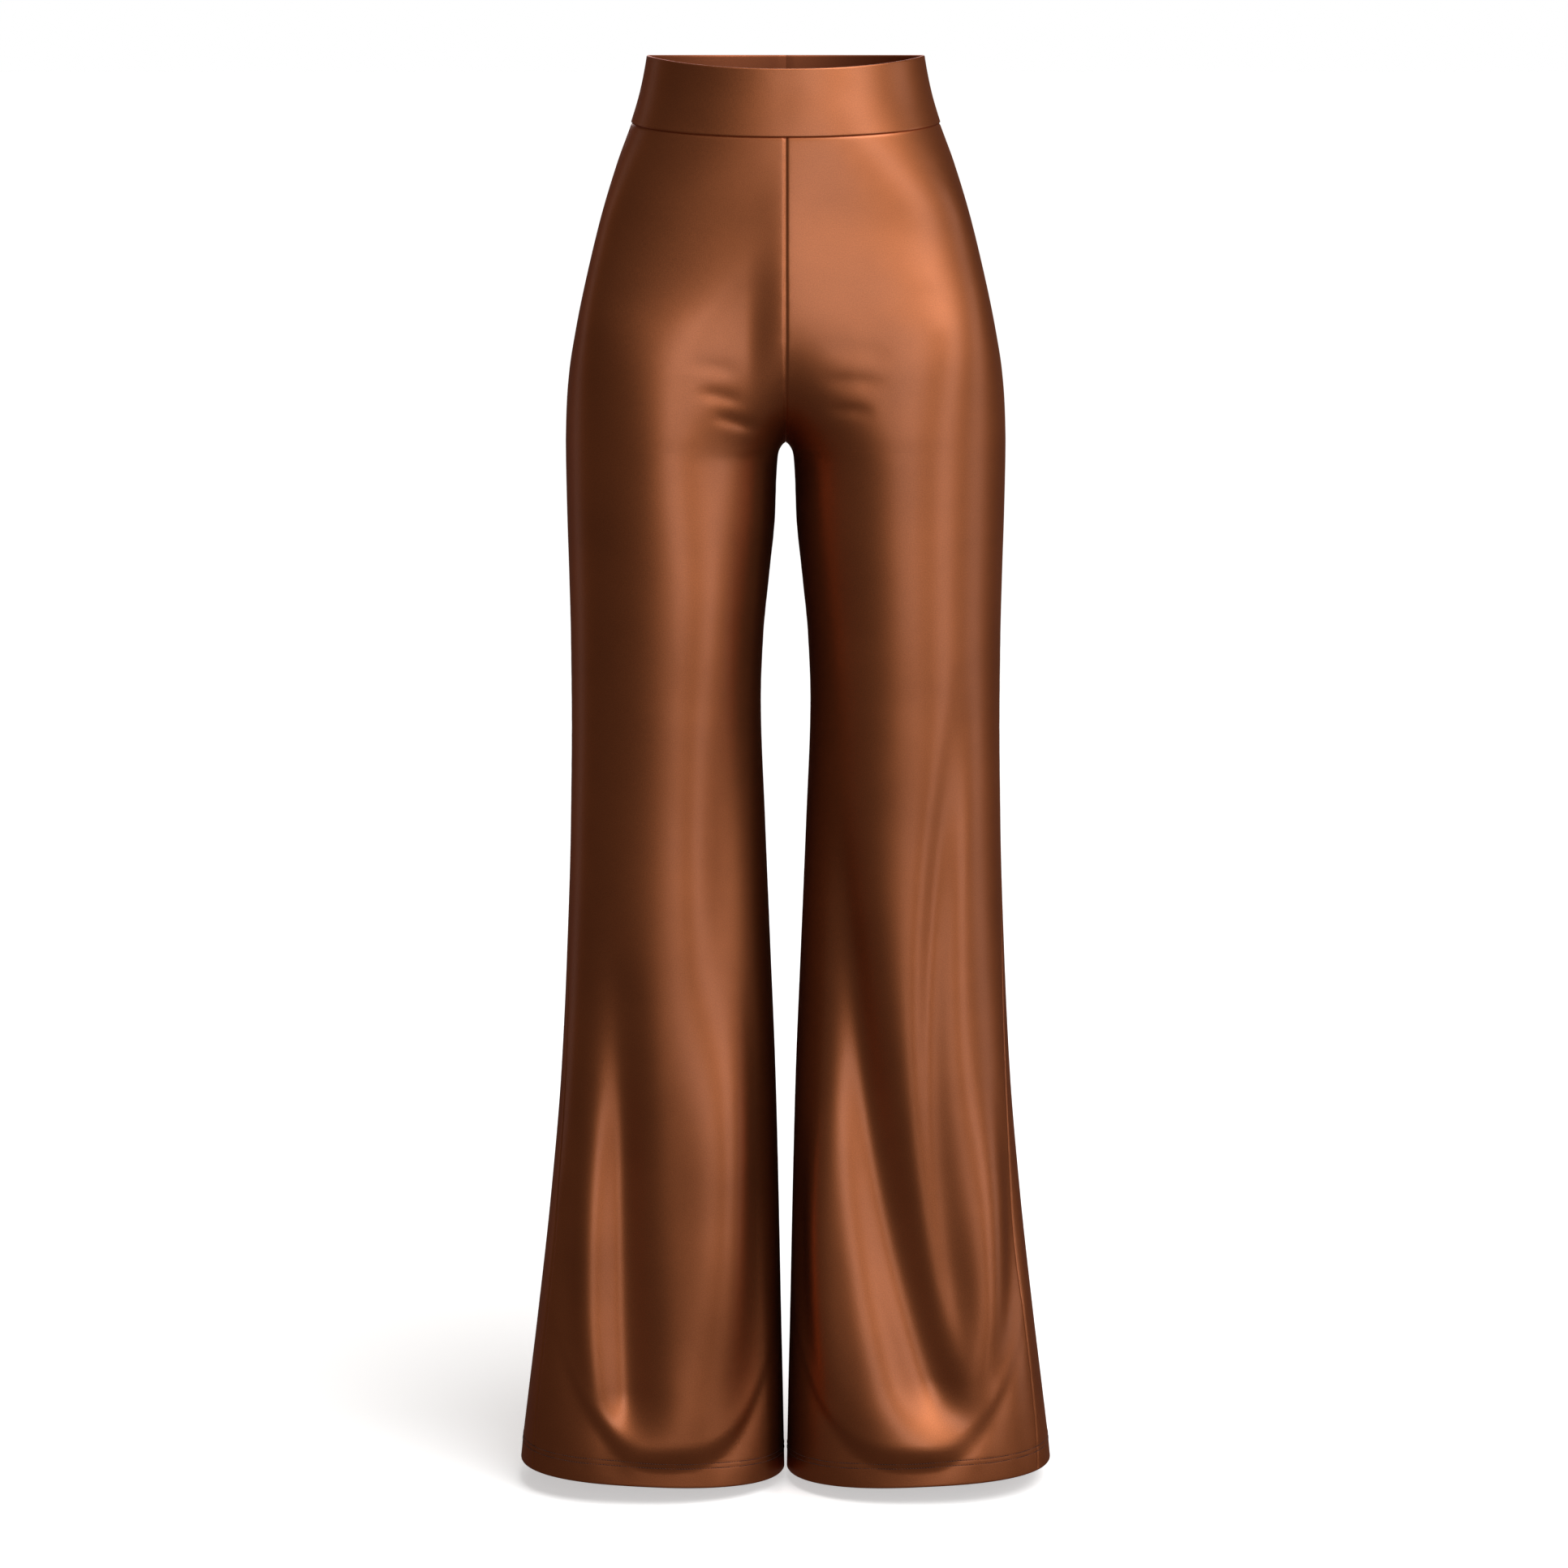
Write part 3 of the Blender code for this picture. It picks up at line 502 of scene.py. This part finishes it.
def cloth_piece(node, outer, inner, materials, fold_row):
    """A closed shell between two faces that meet in a fold at fold_row, 0 or -1, in place of a node."""
    if fold_row == -1:
        outer, inner = outer[::-1], inner[::-1]
    rows, columns = outer.shape[:2]
    # One grid runs from the outer face's open edge over the fold to the inner face's open edge.
    grid = np.concatenate((outer[::-1], inner[1:]))
    index = np.arange(grid.shape[0] * columns).reshape(grid.shape[0], columns)
    faces = [quads(index[:-1, :-1], index[:-1, 1:], index[1:, 1:], index[1:, :-1])]
    for column in (0, columns - 1):
        front, back = index[rows - 1 :: -1, column], index[rows - 1 :, column]
        rim = quads(front[1:-1], front[2:], back[2:], back[1:-1])
        faces.append(rim if column == 0 else rim[:, ::-1])
    faces.append(quads(index[0, :-1], index[-1, :-1], index[-1, 1:], index[0, 1:]))
    faces = np.concatenate(faces).tolist()
    faces += [index[rows - 2 : rows + 1, column].tolist() for column in (0, columns - 1)]
    data = bpy.data.meshes.new(node + "_cloth")
    data.from_pydata(grid.reshape(-1, 3).tolist(), [], faces)
    steps = np.linalg.norm(np.diff(outer[rows // 2], axis=0), axis=1)
    across = np.concatenate(((0.0,), np.cumsum(steps)))
    flat = np.stack((np.broadcast_to(across, grid.shape[:2]), grid[..., 2]), -1).reshape(-1, 2)
    layer = data.uv_layers.new(name="cut")
    corners = np.empty(len(data.loops), dtype=np.int32)
    data.loops.foreach_get("vertex_index", corners)
    layer.data.foreach_set("uv", flat[corners].astype(np.float32).ravel())
    for material in materials:
        data.materials.append(material)
    # The grid's faces come first, and those past the fold show the satin's wrong side.
    number = np.arange(len(data.polygons)) // (columns - 1)
    inside = (number >= rows - 1) & (number < grid.shape[0] - 1)
    data.polygons.foreach_set("material_index", inside.astype(np.int32))
    data.shade_smooth()
    data.set_sharp_from_angle(angle=math.radians(60.0))
    data.update()
    piece = add_object(node + "_cloth", data)
    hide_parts(node)
    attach(piece, "root")
    return piece


def circles(first, second):
    """Unit vectors round circles, each in the plane of one vector of first and one of second."""
    angles = (np.arange(STITCH_SIDES) * 2.0 * math.pi / STITCH_SIDES)[:, None]
    return np.cos(angles) * first[..., None, :] + np.sin(angles) * second[..., None, :]


def stitch_row(leg, drop):
    """One row of stitches round a leg: its points, its faces and their materials' places.

    The threads come first, and then the needle's holes between them, as flat discs painted near-black
    for the shade inside a hole.
    """
    fine = np.linspace(0.0, 360.0, STITCH_WALK)
    walk = point(leg, np.full_like(fine, drop), fine, STITCH_OUT)
    steps = np.linalg.norm(np.diff(walk, axis=0), axis=1)
    lengths = np.concatenate(((0.0,), np.cumsum(steps)))
    count = int(lengths[-1] / STITCH_PITCH)
    middles = (np.arange(count) + 0.5) * lengths[-1] / count

    turns = np.interp(middles[:, None] + STITCH_STATIONS * STITCH_LENGTH, lengths, fine)
    rows = np.full_like(turns, drop)
    centre = point(leg, rows, turns, STITCH_OUT)
    away = -inward(leg, rows, turns, STITCH_OUT)
    rings = circles(away, np.cross(unit(np.gradient(centre, axis=1)), away))
    centre = centre + away * (STITCH_RAISED * STITCH_RADIUS)[:, None]
    threads = centre[:, :, None, :] + rings * (STITCH_SWELL * STITCH_RADIUS)[:, None, None]
    index = np.arange(threads[..., 0].size).reshape(threads.shape[:3])
    turned = np.roll(index, -1, axis=2)
    faces = quads(index[:, :-1], turned[:, :-1], turned[:, 1:], index[:, 1:]).tolist()
    faces += index[:, 0, ::-1].tolist() + index[:, -1].tolist()
    places = [0] * len(faces) + [1] * count

    turns = np.interp((middles + 0.5 * lengths[-1] / count) % lengths[-1], lengths, fine)
    rows = np.full_like(turns, drop)
    centre = point(leg, rows, turns, STITCH_OUT)
    away = -inward(leg, rows, turns, STITCH_OUT)
    along = unit(point(leg, rows, turns + 0.2, STITCH_OUT) - centre)
    # Each hole is a flat disc whose near-black colour is painted shade, not a real opening in the cloth.
    discs = centre[:, None, :] + circles(along, np.cross(along, away)) * NEEDLE_HOLE_RADIUS
    discs = discs + away[:, None, :] * NEEDLE_HOLE_OUT
    faces += (np.arange(count * STITCH_SIDES).reshape(count, -1) + index.size).tolist()
    return np.concatenate((threads.reshape(-1, 3), discs.reshape(-1, 3))), faces, places


def hem_stitches(side, leg, materials):
    """Both rows of stitches round one leg's hem, as one joined mesh."""
    name = f"hem_stitches_{side}"
    points, faces, places, start = [], [], [], 0
    for rise in HEM_STITCH_RISES:
        row_points, row_faces, row_places = stitch_row(leg, HEM_DROP - rise)
        points.append(to_frame(leg, row_points))
        faces += [[corner + start for corner in face] for face in row_faces]
        places += row_places
        start += len(row_points)
    data = bpy.data.meshes.new(name)
    data.from_pydata(np.concatenate(points).tolist(), [], faces)
    for material in materials:
        data.materials.append(material)
    data.polygons.foreach_set("material_index", places)
    data.shade_smooth()
    piece = add_object(name, data)
    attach(piece, "root")
    return piece


class Nodes:
    """A material's node tree, with short calls to add to it."""

    def __init__(self, name):
        self.material = bpy.data.materials.new(name)
        self.material.use_nodes = True
        self.tree = self.material.node_tree
        self.shader = self.tree.nodes["Principled BSDF"]

    def add(self, kind, **values):
        node = self.tree.nodes.new("ShaderNode" + kind)
        for key, value in values.items():
            setattr(node, key, value)
        return node

    def link(self, out, into):
        self.tree.links.new(out, into)

    def noise(self, scales, detail, kind="UV"):
        place = self.add("TexCoord")
        mapping = self.add("Mapping")
        mapping.inputs["Scale"].default_value = scales
        texture = self.add("TexNoise")
        texture.inputs["Scale"].default_value = 1.0
        texture.inputs["Detail"].default_value = detail
        self.link(place.outputs[kind], mapping.inputs["Vector"])
        self.link(mapping.outputs["Vector"], texture.inputs["Vector"])
        return texture.outputs["Fac"]

    def spread(self, source, low, high):
        """A noise, which mostly lies between 0.3 and 0.7, spread from low to high."""
        spread = self.add("MapRange")
        spread.inputs["From Min"].default_value = 0.3
        spread.inputs["From Max"].default_value = 0.7
        spread.inputs["To Min"].default_value = low
        spread.inputs["To Max"].default_value = high
        self.link(source, spread.inputs["Value"])
        return spread.outputs["Result"]


def satin(name, dark, light, roughness, metallic, coat, weave):
    """Satin with a fine grain, long floats along the cloth and a slightly uneven dye."""
    nodes = Nodes(name)
    shader = nodes.shader
    grain = nodes.noise(scales=(1100.0, 1100.0, 1.0), detail=3.0)
    floats = nodes.noise(scales=(2600.0, 260.0, 1.0), detail=2.0)
    dye = nodes.noise(scales=(14.0, 9.0, 14.0), detail=4.0, kind="Object")
    mix = nodes.add("Mix", data_type="RGBA")
    # The grain makes 0.55 of the way from dark to light, and the dye the rest.
    blend = nodes.add("Math", operation="MULTIPLY_ADD")
    nodes.link(nodes.spread(grain, 0.0, 1.0), blend.inputs[0])
    blend.inputs[1].default_value = 0.55
    nodes.link(nodes.spread(dye, 0.0, 0.45), blend.inputs[2])
    nodes.link(blend.outputs[0], mix.inputs["Factor"])
    mix.inputs["A"].default_value = (*dark, 1.0)
    mix.inputs["B"].default_value = (*light, 1.0)
    nodes.link(mix.outputs["Result"], shader.inputs["Base Color"])
    rough = nodes.spread(floats, roughness - 0.04, roughness + 0.04)
    nodes.link(rough, shader.inputs["Roughness"])
    shader.inputs["Metallic"].default_value = metallic
    shader.inputs["Specular Tint"].default_value = (0.55, 0.19, 0.08, 1.0)
    shader.inputs["Coat Weight"].default_value = coat
    shader.inputs["Coat Roughness"].default_value = 0.30
    height = nodes.add("Math", operation="ADD")
    nodes.link(grain, height.inputs[0])
    nodes.link(floats, height.inputs[1])
    bump = nodes.add("Bump")
    bump.inputs["Strength"].default_value = weave
    bump.inputs["Distance"].default_value = 0.0001
    nodes.link(height.outputs[0], bump.inputs["Height"])
    nodes.link(bump.outputs["Normal"], shader.inputs["Normal"])
    return nodes.material


def plain(name, colour, roughness, grain, uneven):
    """A material with a little uneven colour, for thread, the painted shade of the needle holes and the
    floor.
    """
    nodes = Nodes(name)
    speckle = nodes.noise((grain, grain, grain), 2.0, "Object")
    mix = nodes.add("Mix", data_type="RGBA")
    nodes.link(nodes.spread(speckle, 0.0, 1.0), mix.inputs["Factor"])
    mix.inputs["A"].default_value = (*(c * (1.0 - uneven) for c in colour), 1.0)
    mix.inputs["B"].default_value = (*colour, 1.0)
    nodes.link(mix.outputs["Result"], nodes.shader.inputs["Base Color"])
    nodes.shader.inputs["Roughness"].default_value = roughness
    return nodes.material


face_satin = satin(
    "satin_face",
    dark=(0.43, 0.133, 0.048),
    light=(0.63, 0.203, 0.074),
    roughness=0.47,
    metallic=1.0,
    coat=0.55,
    weave=0.4,
)
back_satin = satin(
    "satin_back",
    dark=(0.42, 0.135, 0.06),
    light=(0.51, 0.165, 0.075),
    roughness=0.56,
    metallic=0.8,
    coat=0.0,
    weave=0.35,
)
satins = (face_satin, back_satin)
threads_and_hole_shade = (
    plain("sewing_thread", (0.06, 0.016, 0.007), roughness=0.7, grain=900.0, uneven=0.1),
    # Near-black painted shade stands in for the dark inside each needle hole.
    plain("needle_hole_painted_shade", (0.012, 0.004, 0.002), roughness=0.9, grain=900.0, uneven=0.1),
)

LEGS = (("left", 1), ("right", -1))
for side_name, leg_sign in LEGS:
    for face_name in ("front", "back"):
        node_name = f"{face_name}_panel_{side_name}"
        outer_face, inner_face = panel_grids(leg_sign, face_name)
        if leg_sign == -1:
            outer_face, inner_face = outer_face[:, ::-1], inner_face[:, ::-1]
        cloth_piece(node_name, outer_face, inner_face, satins, -1)
for node_name, first_turn, last_turn in (
    ("waistband_front", 0.0, 180.0),
    ("waistband_back_left", 180.0, 270.0),
    ("waistband_back_right", 270.0, 360.0),
):
    outer_face, inner_face = band_grids(first_turn, last_turn)
    cloth_piece(node_name, outer_face, inner_face, satins, 0)

# Each leg's stitches go with its front panel, though they run on round the back one.
sewn_on = {
    f"front_panel_{side_name}": [hem_stitches(side_name, leg_sign, threads_and_hole_shade)]
    for side_name, leg_sign in LEGS
}


def way_to(azimuth, height):
    """The unit vector towards a place round the garment, where azimuth 0 is in front of it."""
    around, up = math.radians(azimuth), math.radians(height)
    level = math.cos(up)
    return mathutils.Vector((math.sin(around) * level, -math.cos(around) * level, math.sin(up)))


def hang_lamp(light, way, distance):
    """Places a light so that it looks at the middle of the garment."""
    lamp = add_object(light.name, light)
    lamp.location = mathutils.Vector((0.0, 0.0, -0.5)) + way * distance
    lamp.rotation_euler = (-way).to_track_quat("-Z", "Y").to_euler()


def area_light(name, azimuth, height, distance, size, power):
    """A soft rectangular light."""
    light = bpy.data.lights.new(name, "AREA")
    light.shape = "RECTANGLE"
    light.size, light.size_y = size
    light.energy = power
    hang_lamp(light, way_to(azimuth, height), distance)


def sun_light(name, azimuth, height, spread, strength):
    """A far light with soft shadows."""
    light = bpy.data.lights.new(name, "SUN")
    light.energy = strength
    light.angle = math.radians(spread)
    hang_lamp(light, way_to(azimuth, height), distance=5.0)


# Where each light stands, in degrees round the garment and above its middle, and in metres from it.
LIGHT_COLUMNS = ("name", "azimuth", "height", "distance", "size", "power")
LIGHTS = (
    ("key_light", 34.0, 34.0, 3.0, (1.0, 1.4), 10.0),
    ("front_light", 10.0, 6.0, 3.6, (1.2, 2.2), 19.5),
    ("near_right_light", 48.0, 5.0, 3.0, (0.9, 2.4), 13.0),
    ("right_light", 90.0, 5.0, 2.6, (1.0, 2.4), 6.5),
    ("back_light", 186.0, 32.0, 3.0, (1.6, 1.8), 16.0),
    ("left_light", -125.0, 8.0, 2.6, (0.6, 2.4), 1.2),
)
for light_row in LIGHTS:
    area_light(**dict(zip(LIGHT_COLUMNS, light_row)))
sun_light("soft_sun", azimuth=42.0, height=60.0, spread=40.0, strength=2.0)


def flat_thing(name, corners, material):
    """A flat four-cornered object."""
    data = bpy.data.meshes.new(name)
    data.from_pydata(corners, [], [(0, 1, 2, 3)])
    data.materials.append(material)
    return add_object(name, data)


pale_floor = plain("pale_floor", (0.9, 0.9, 0.9), roughness=1.0, grain=400.0, uneven=0.004)
glow = pale_floor.node_tree.nodes["Principled BSDF"].inputs
glow["Emission Color"].default_value = (1.0, 1.0, 1.0, 1.0)
glow["Emission Strength"].default_value = 0.5
reach, level = 300.0, (ORIGIN_DROP - FLOOR_DROP) * 0.001
floor_corners = [(x * reach, y * reach, level) for x, y in ((-1, -1), (1, -1), (1, 1), (-1, 1))]
floor = flat_thing("floor", floor_corners, pale_floor)
floor.visible_glossy = False

# A dark card between the legs, unseen by the camera, keeps them from glowing at each other.
dark_brown = plain("black_card", (0.10, 0.045, 0.025), roughness=1.0, grain=400.0, uneven=0.5)
card_front, card_back, card_top, card_bottom = -0.06, 0.09, -0.28, -1.09
card = flat_thing(
    "black_card",
    [
        (0.0, card_front, card_top),
        (0.0, card_back, card_top),
        (0.0, card_back, card_bottom),
        (0.0, card_front, card_bottom),
    ],
    dark_brown,
)
card.visible_camera = False

# The camera sees a white backdrop, and the satin is lit by a dim, warm room.
world = bpy.data.worlds.new("studio")
world.use_nodes = True
bpy.context.scene.world = world
tree = world.node_tree
room = tree.nodes["Background"]
room.inputs["Color"].default_value = (0.085, 0.066, 0.053, 1.0)
backdrop = tree.nodes.new("ShaderNodeBackground")
backdrop.inputs["Color"].default_value = (1.0, 1.0, 1.0, 1.0)
paths = tree.nodes.new("ShaderNodeLightPath")
choice = tree.nodes.new("ShaderNodeMixShader")
tree.links.new(paths.outputs["Is Camera Ray"], choice.inputs[0])
tree.links.new(room.outputs[0], choice.inputs[1])
tree.links.new(backdrop.outputs[0], choice.inputs[2])
tree.links.new(choice.outputs[0], tree.nodes["World Output"].inputs["Surface"])
bpy.context.scene.view_settings.view_transform = "Standard"

# The camera is level with the waistband's top and looks down a little, as in the photograph.
camera_tilt = 9.49
lens = bpy.data.cameras.new("camera")
lens.lens, lens.sensor_width = 100.0, 36.0
lens.clip_end = 1000.0
camera = add_object("camera", lens)
camera.location = (-0.0013, -3.4, 0.027)
camera.rotation_euler = (math.radians(90.0 - camera_tilt), 0.0, 0.0)
bpy.context.scene.camera = camera
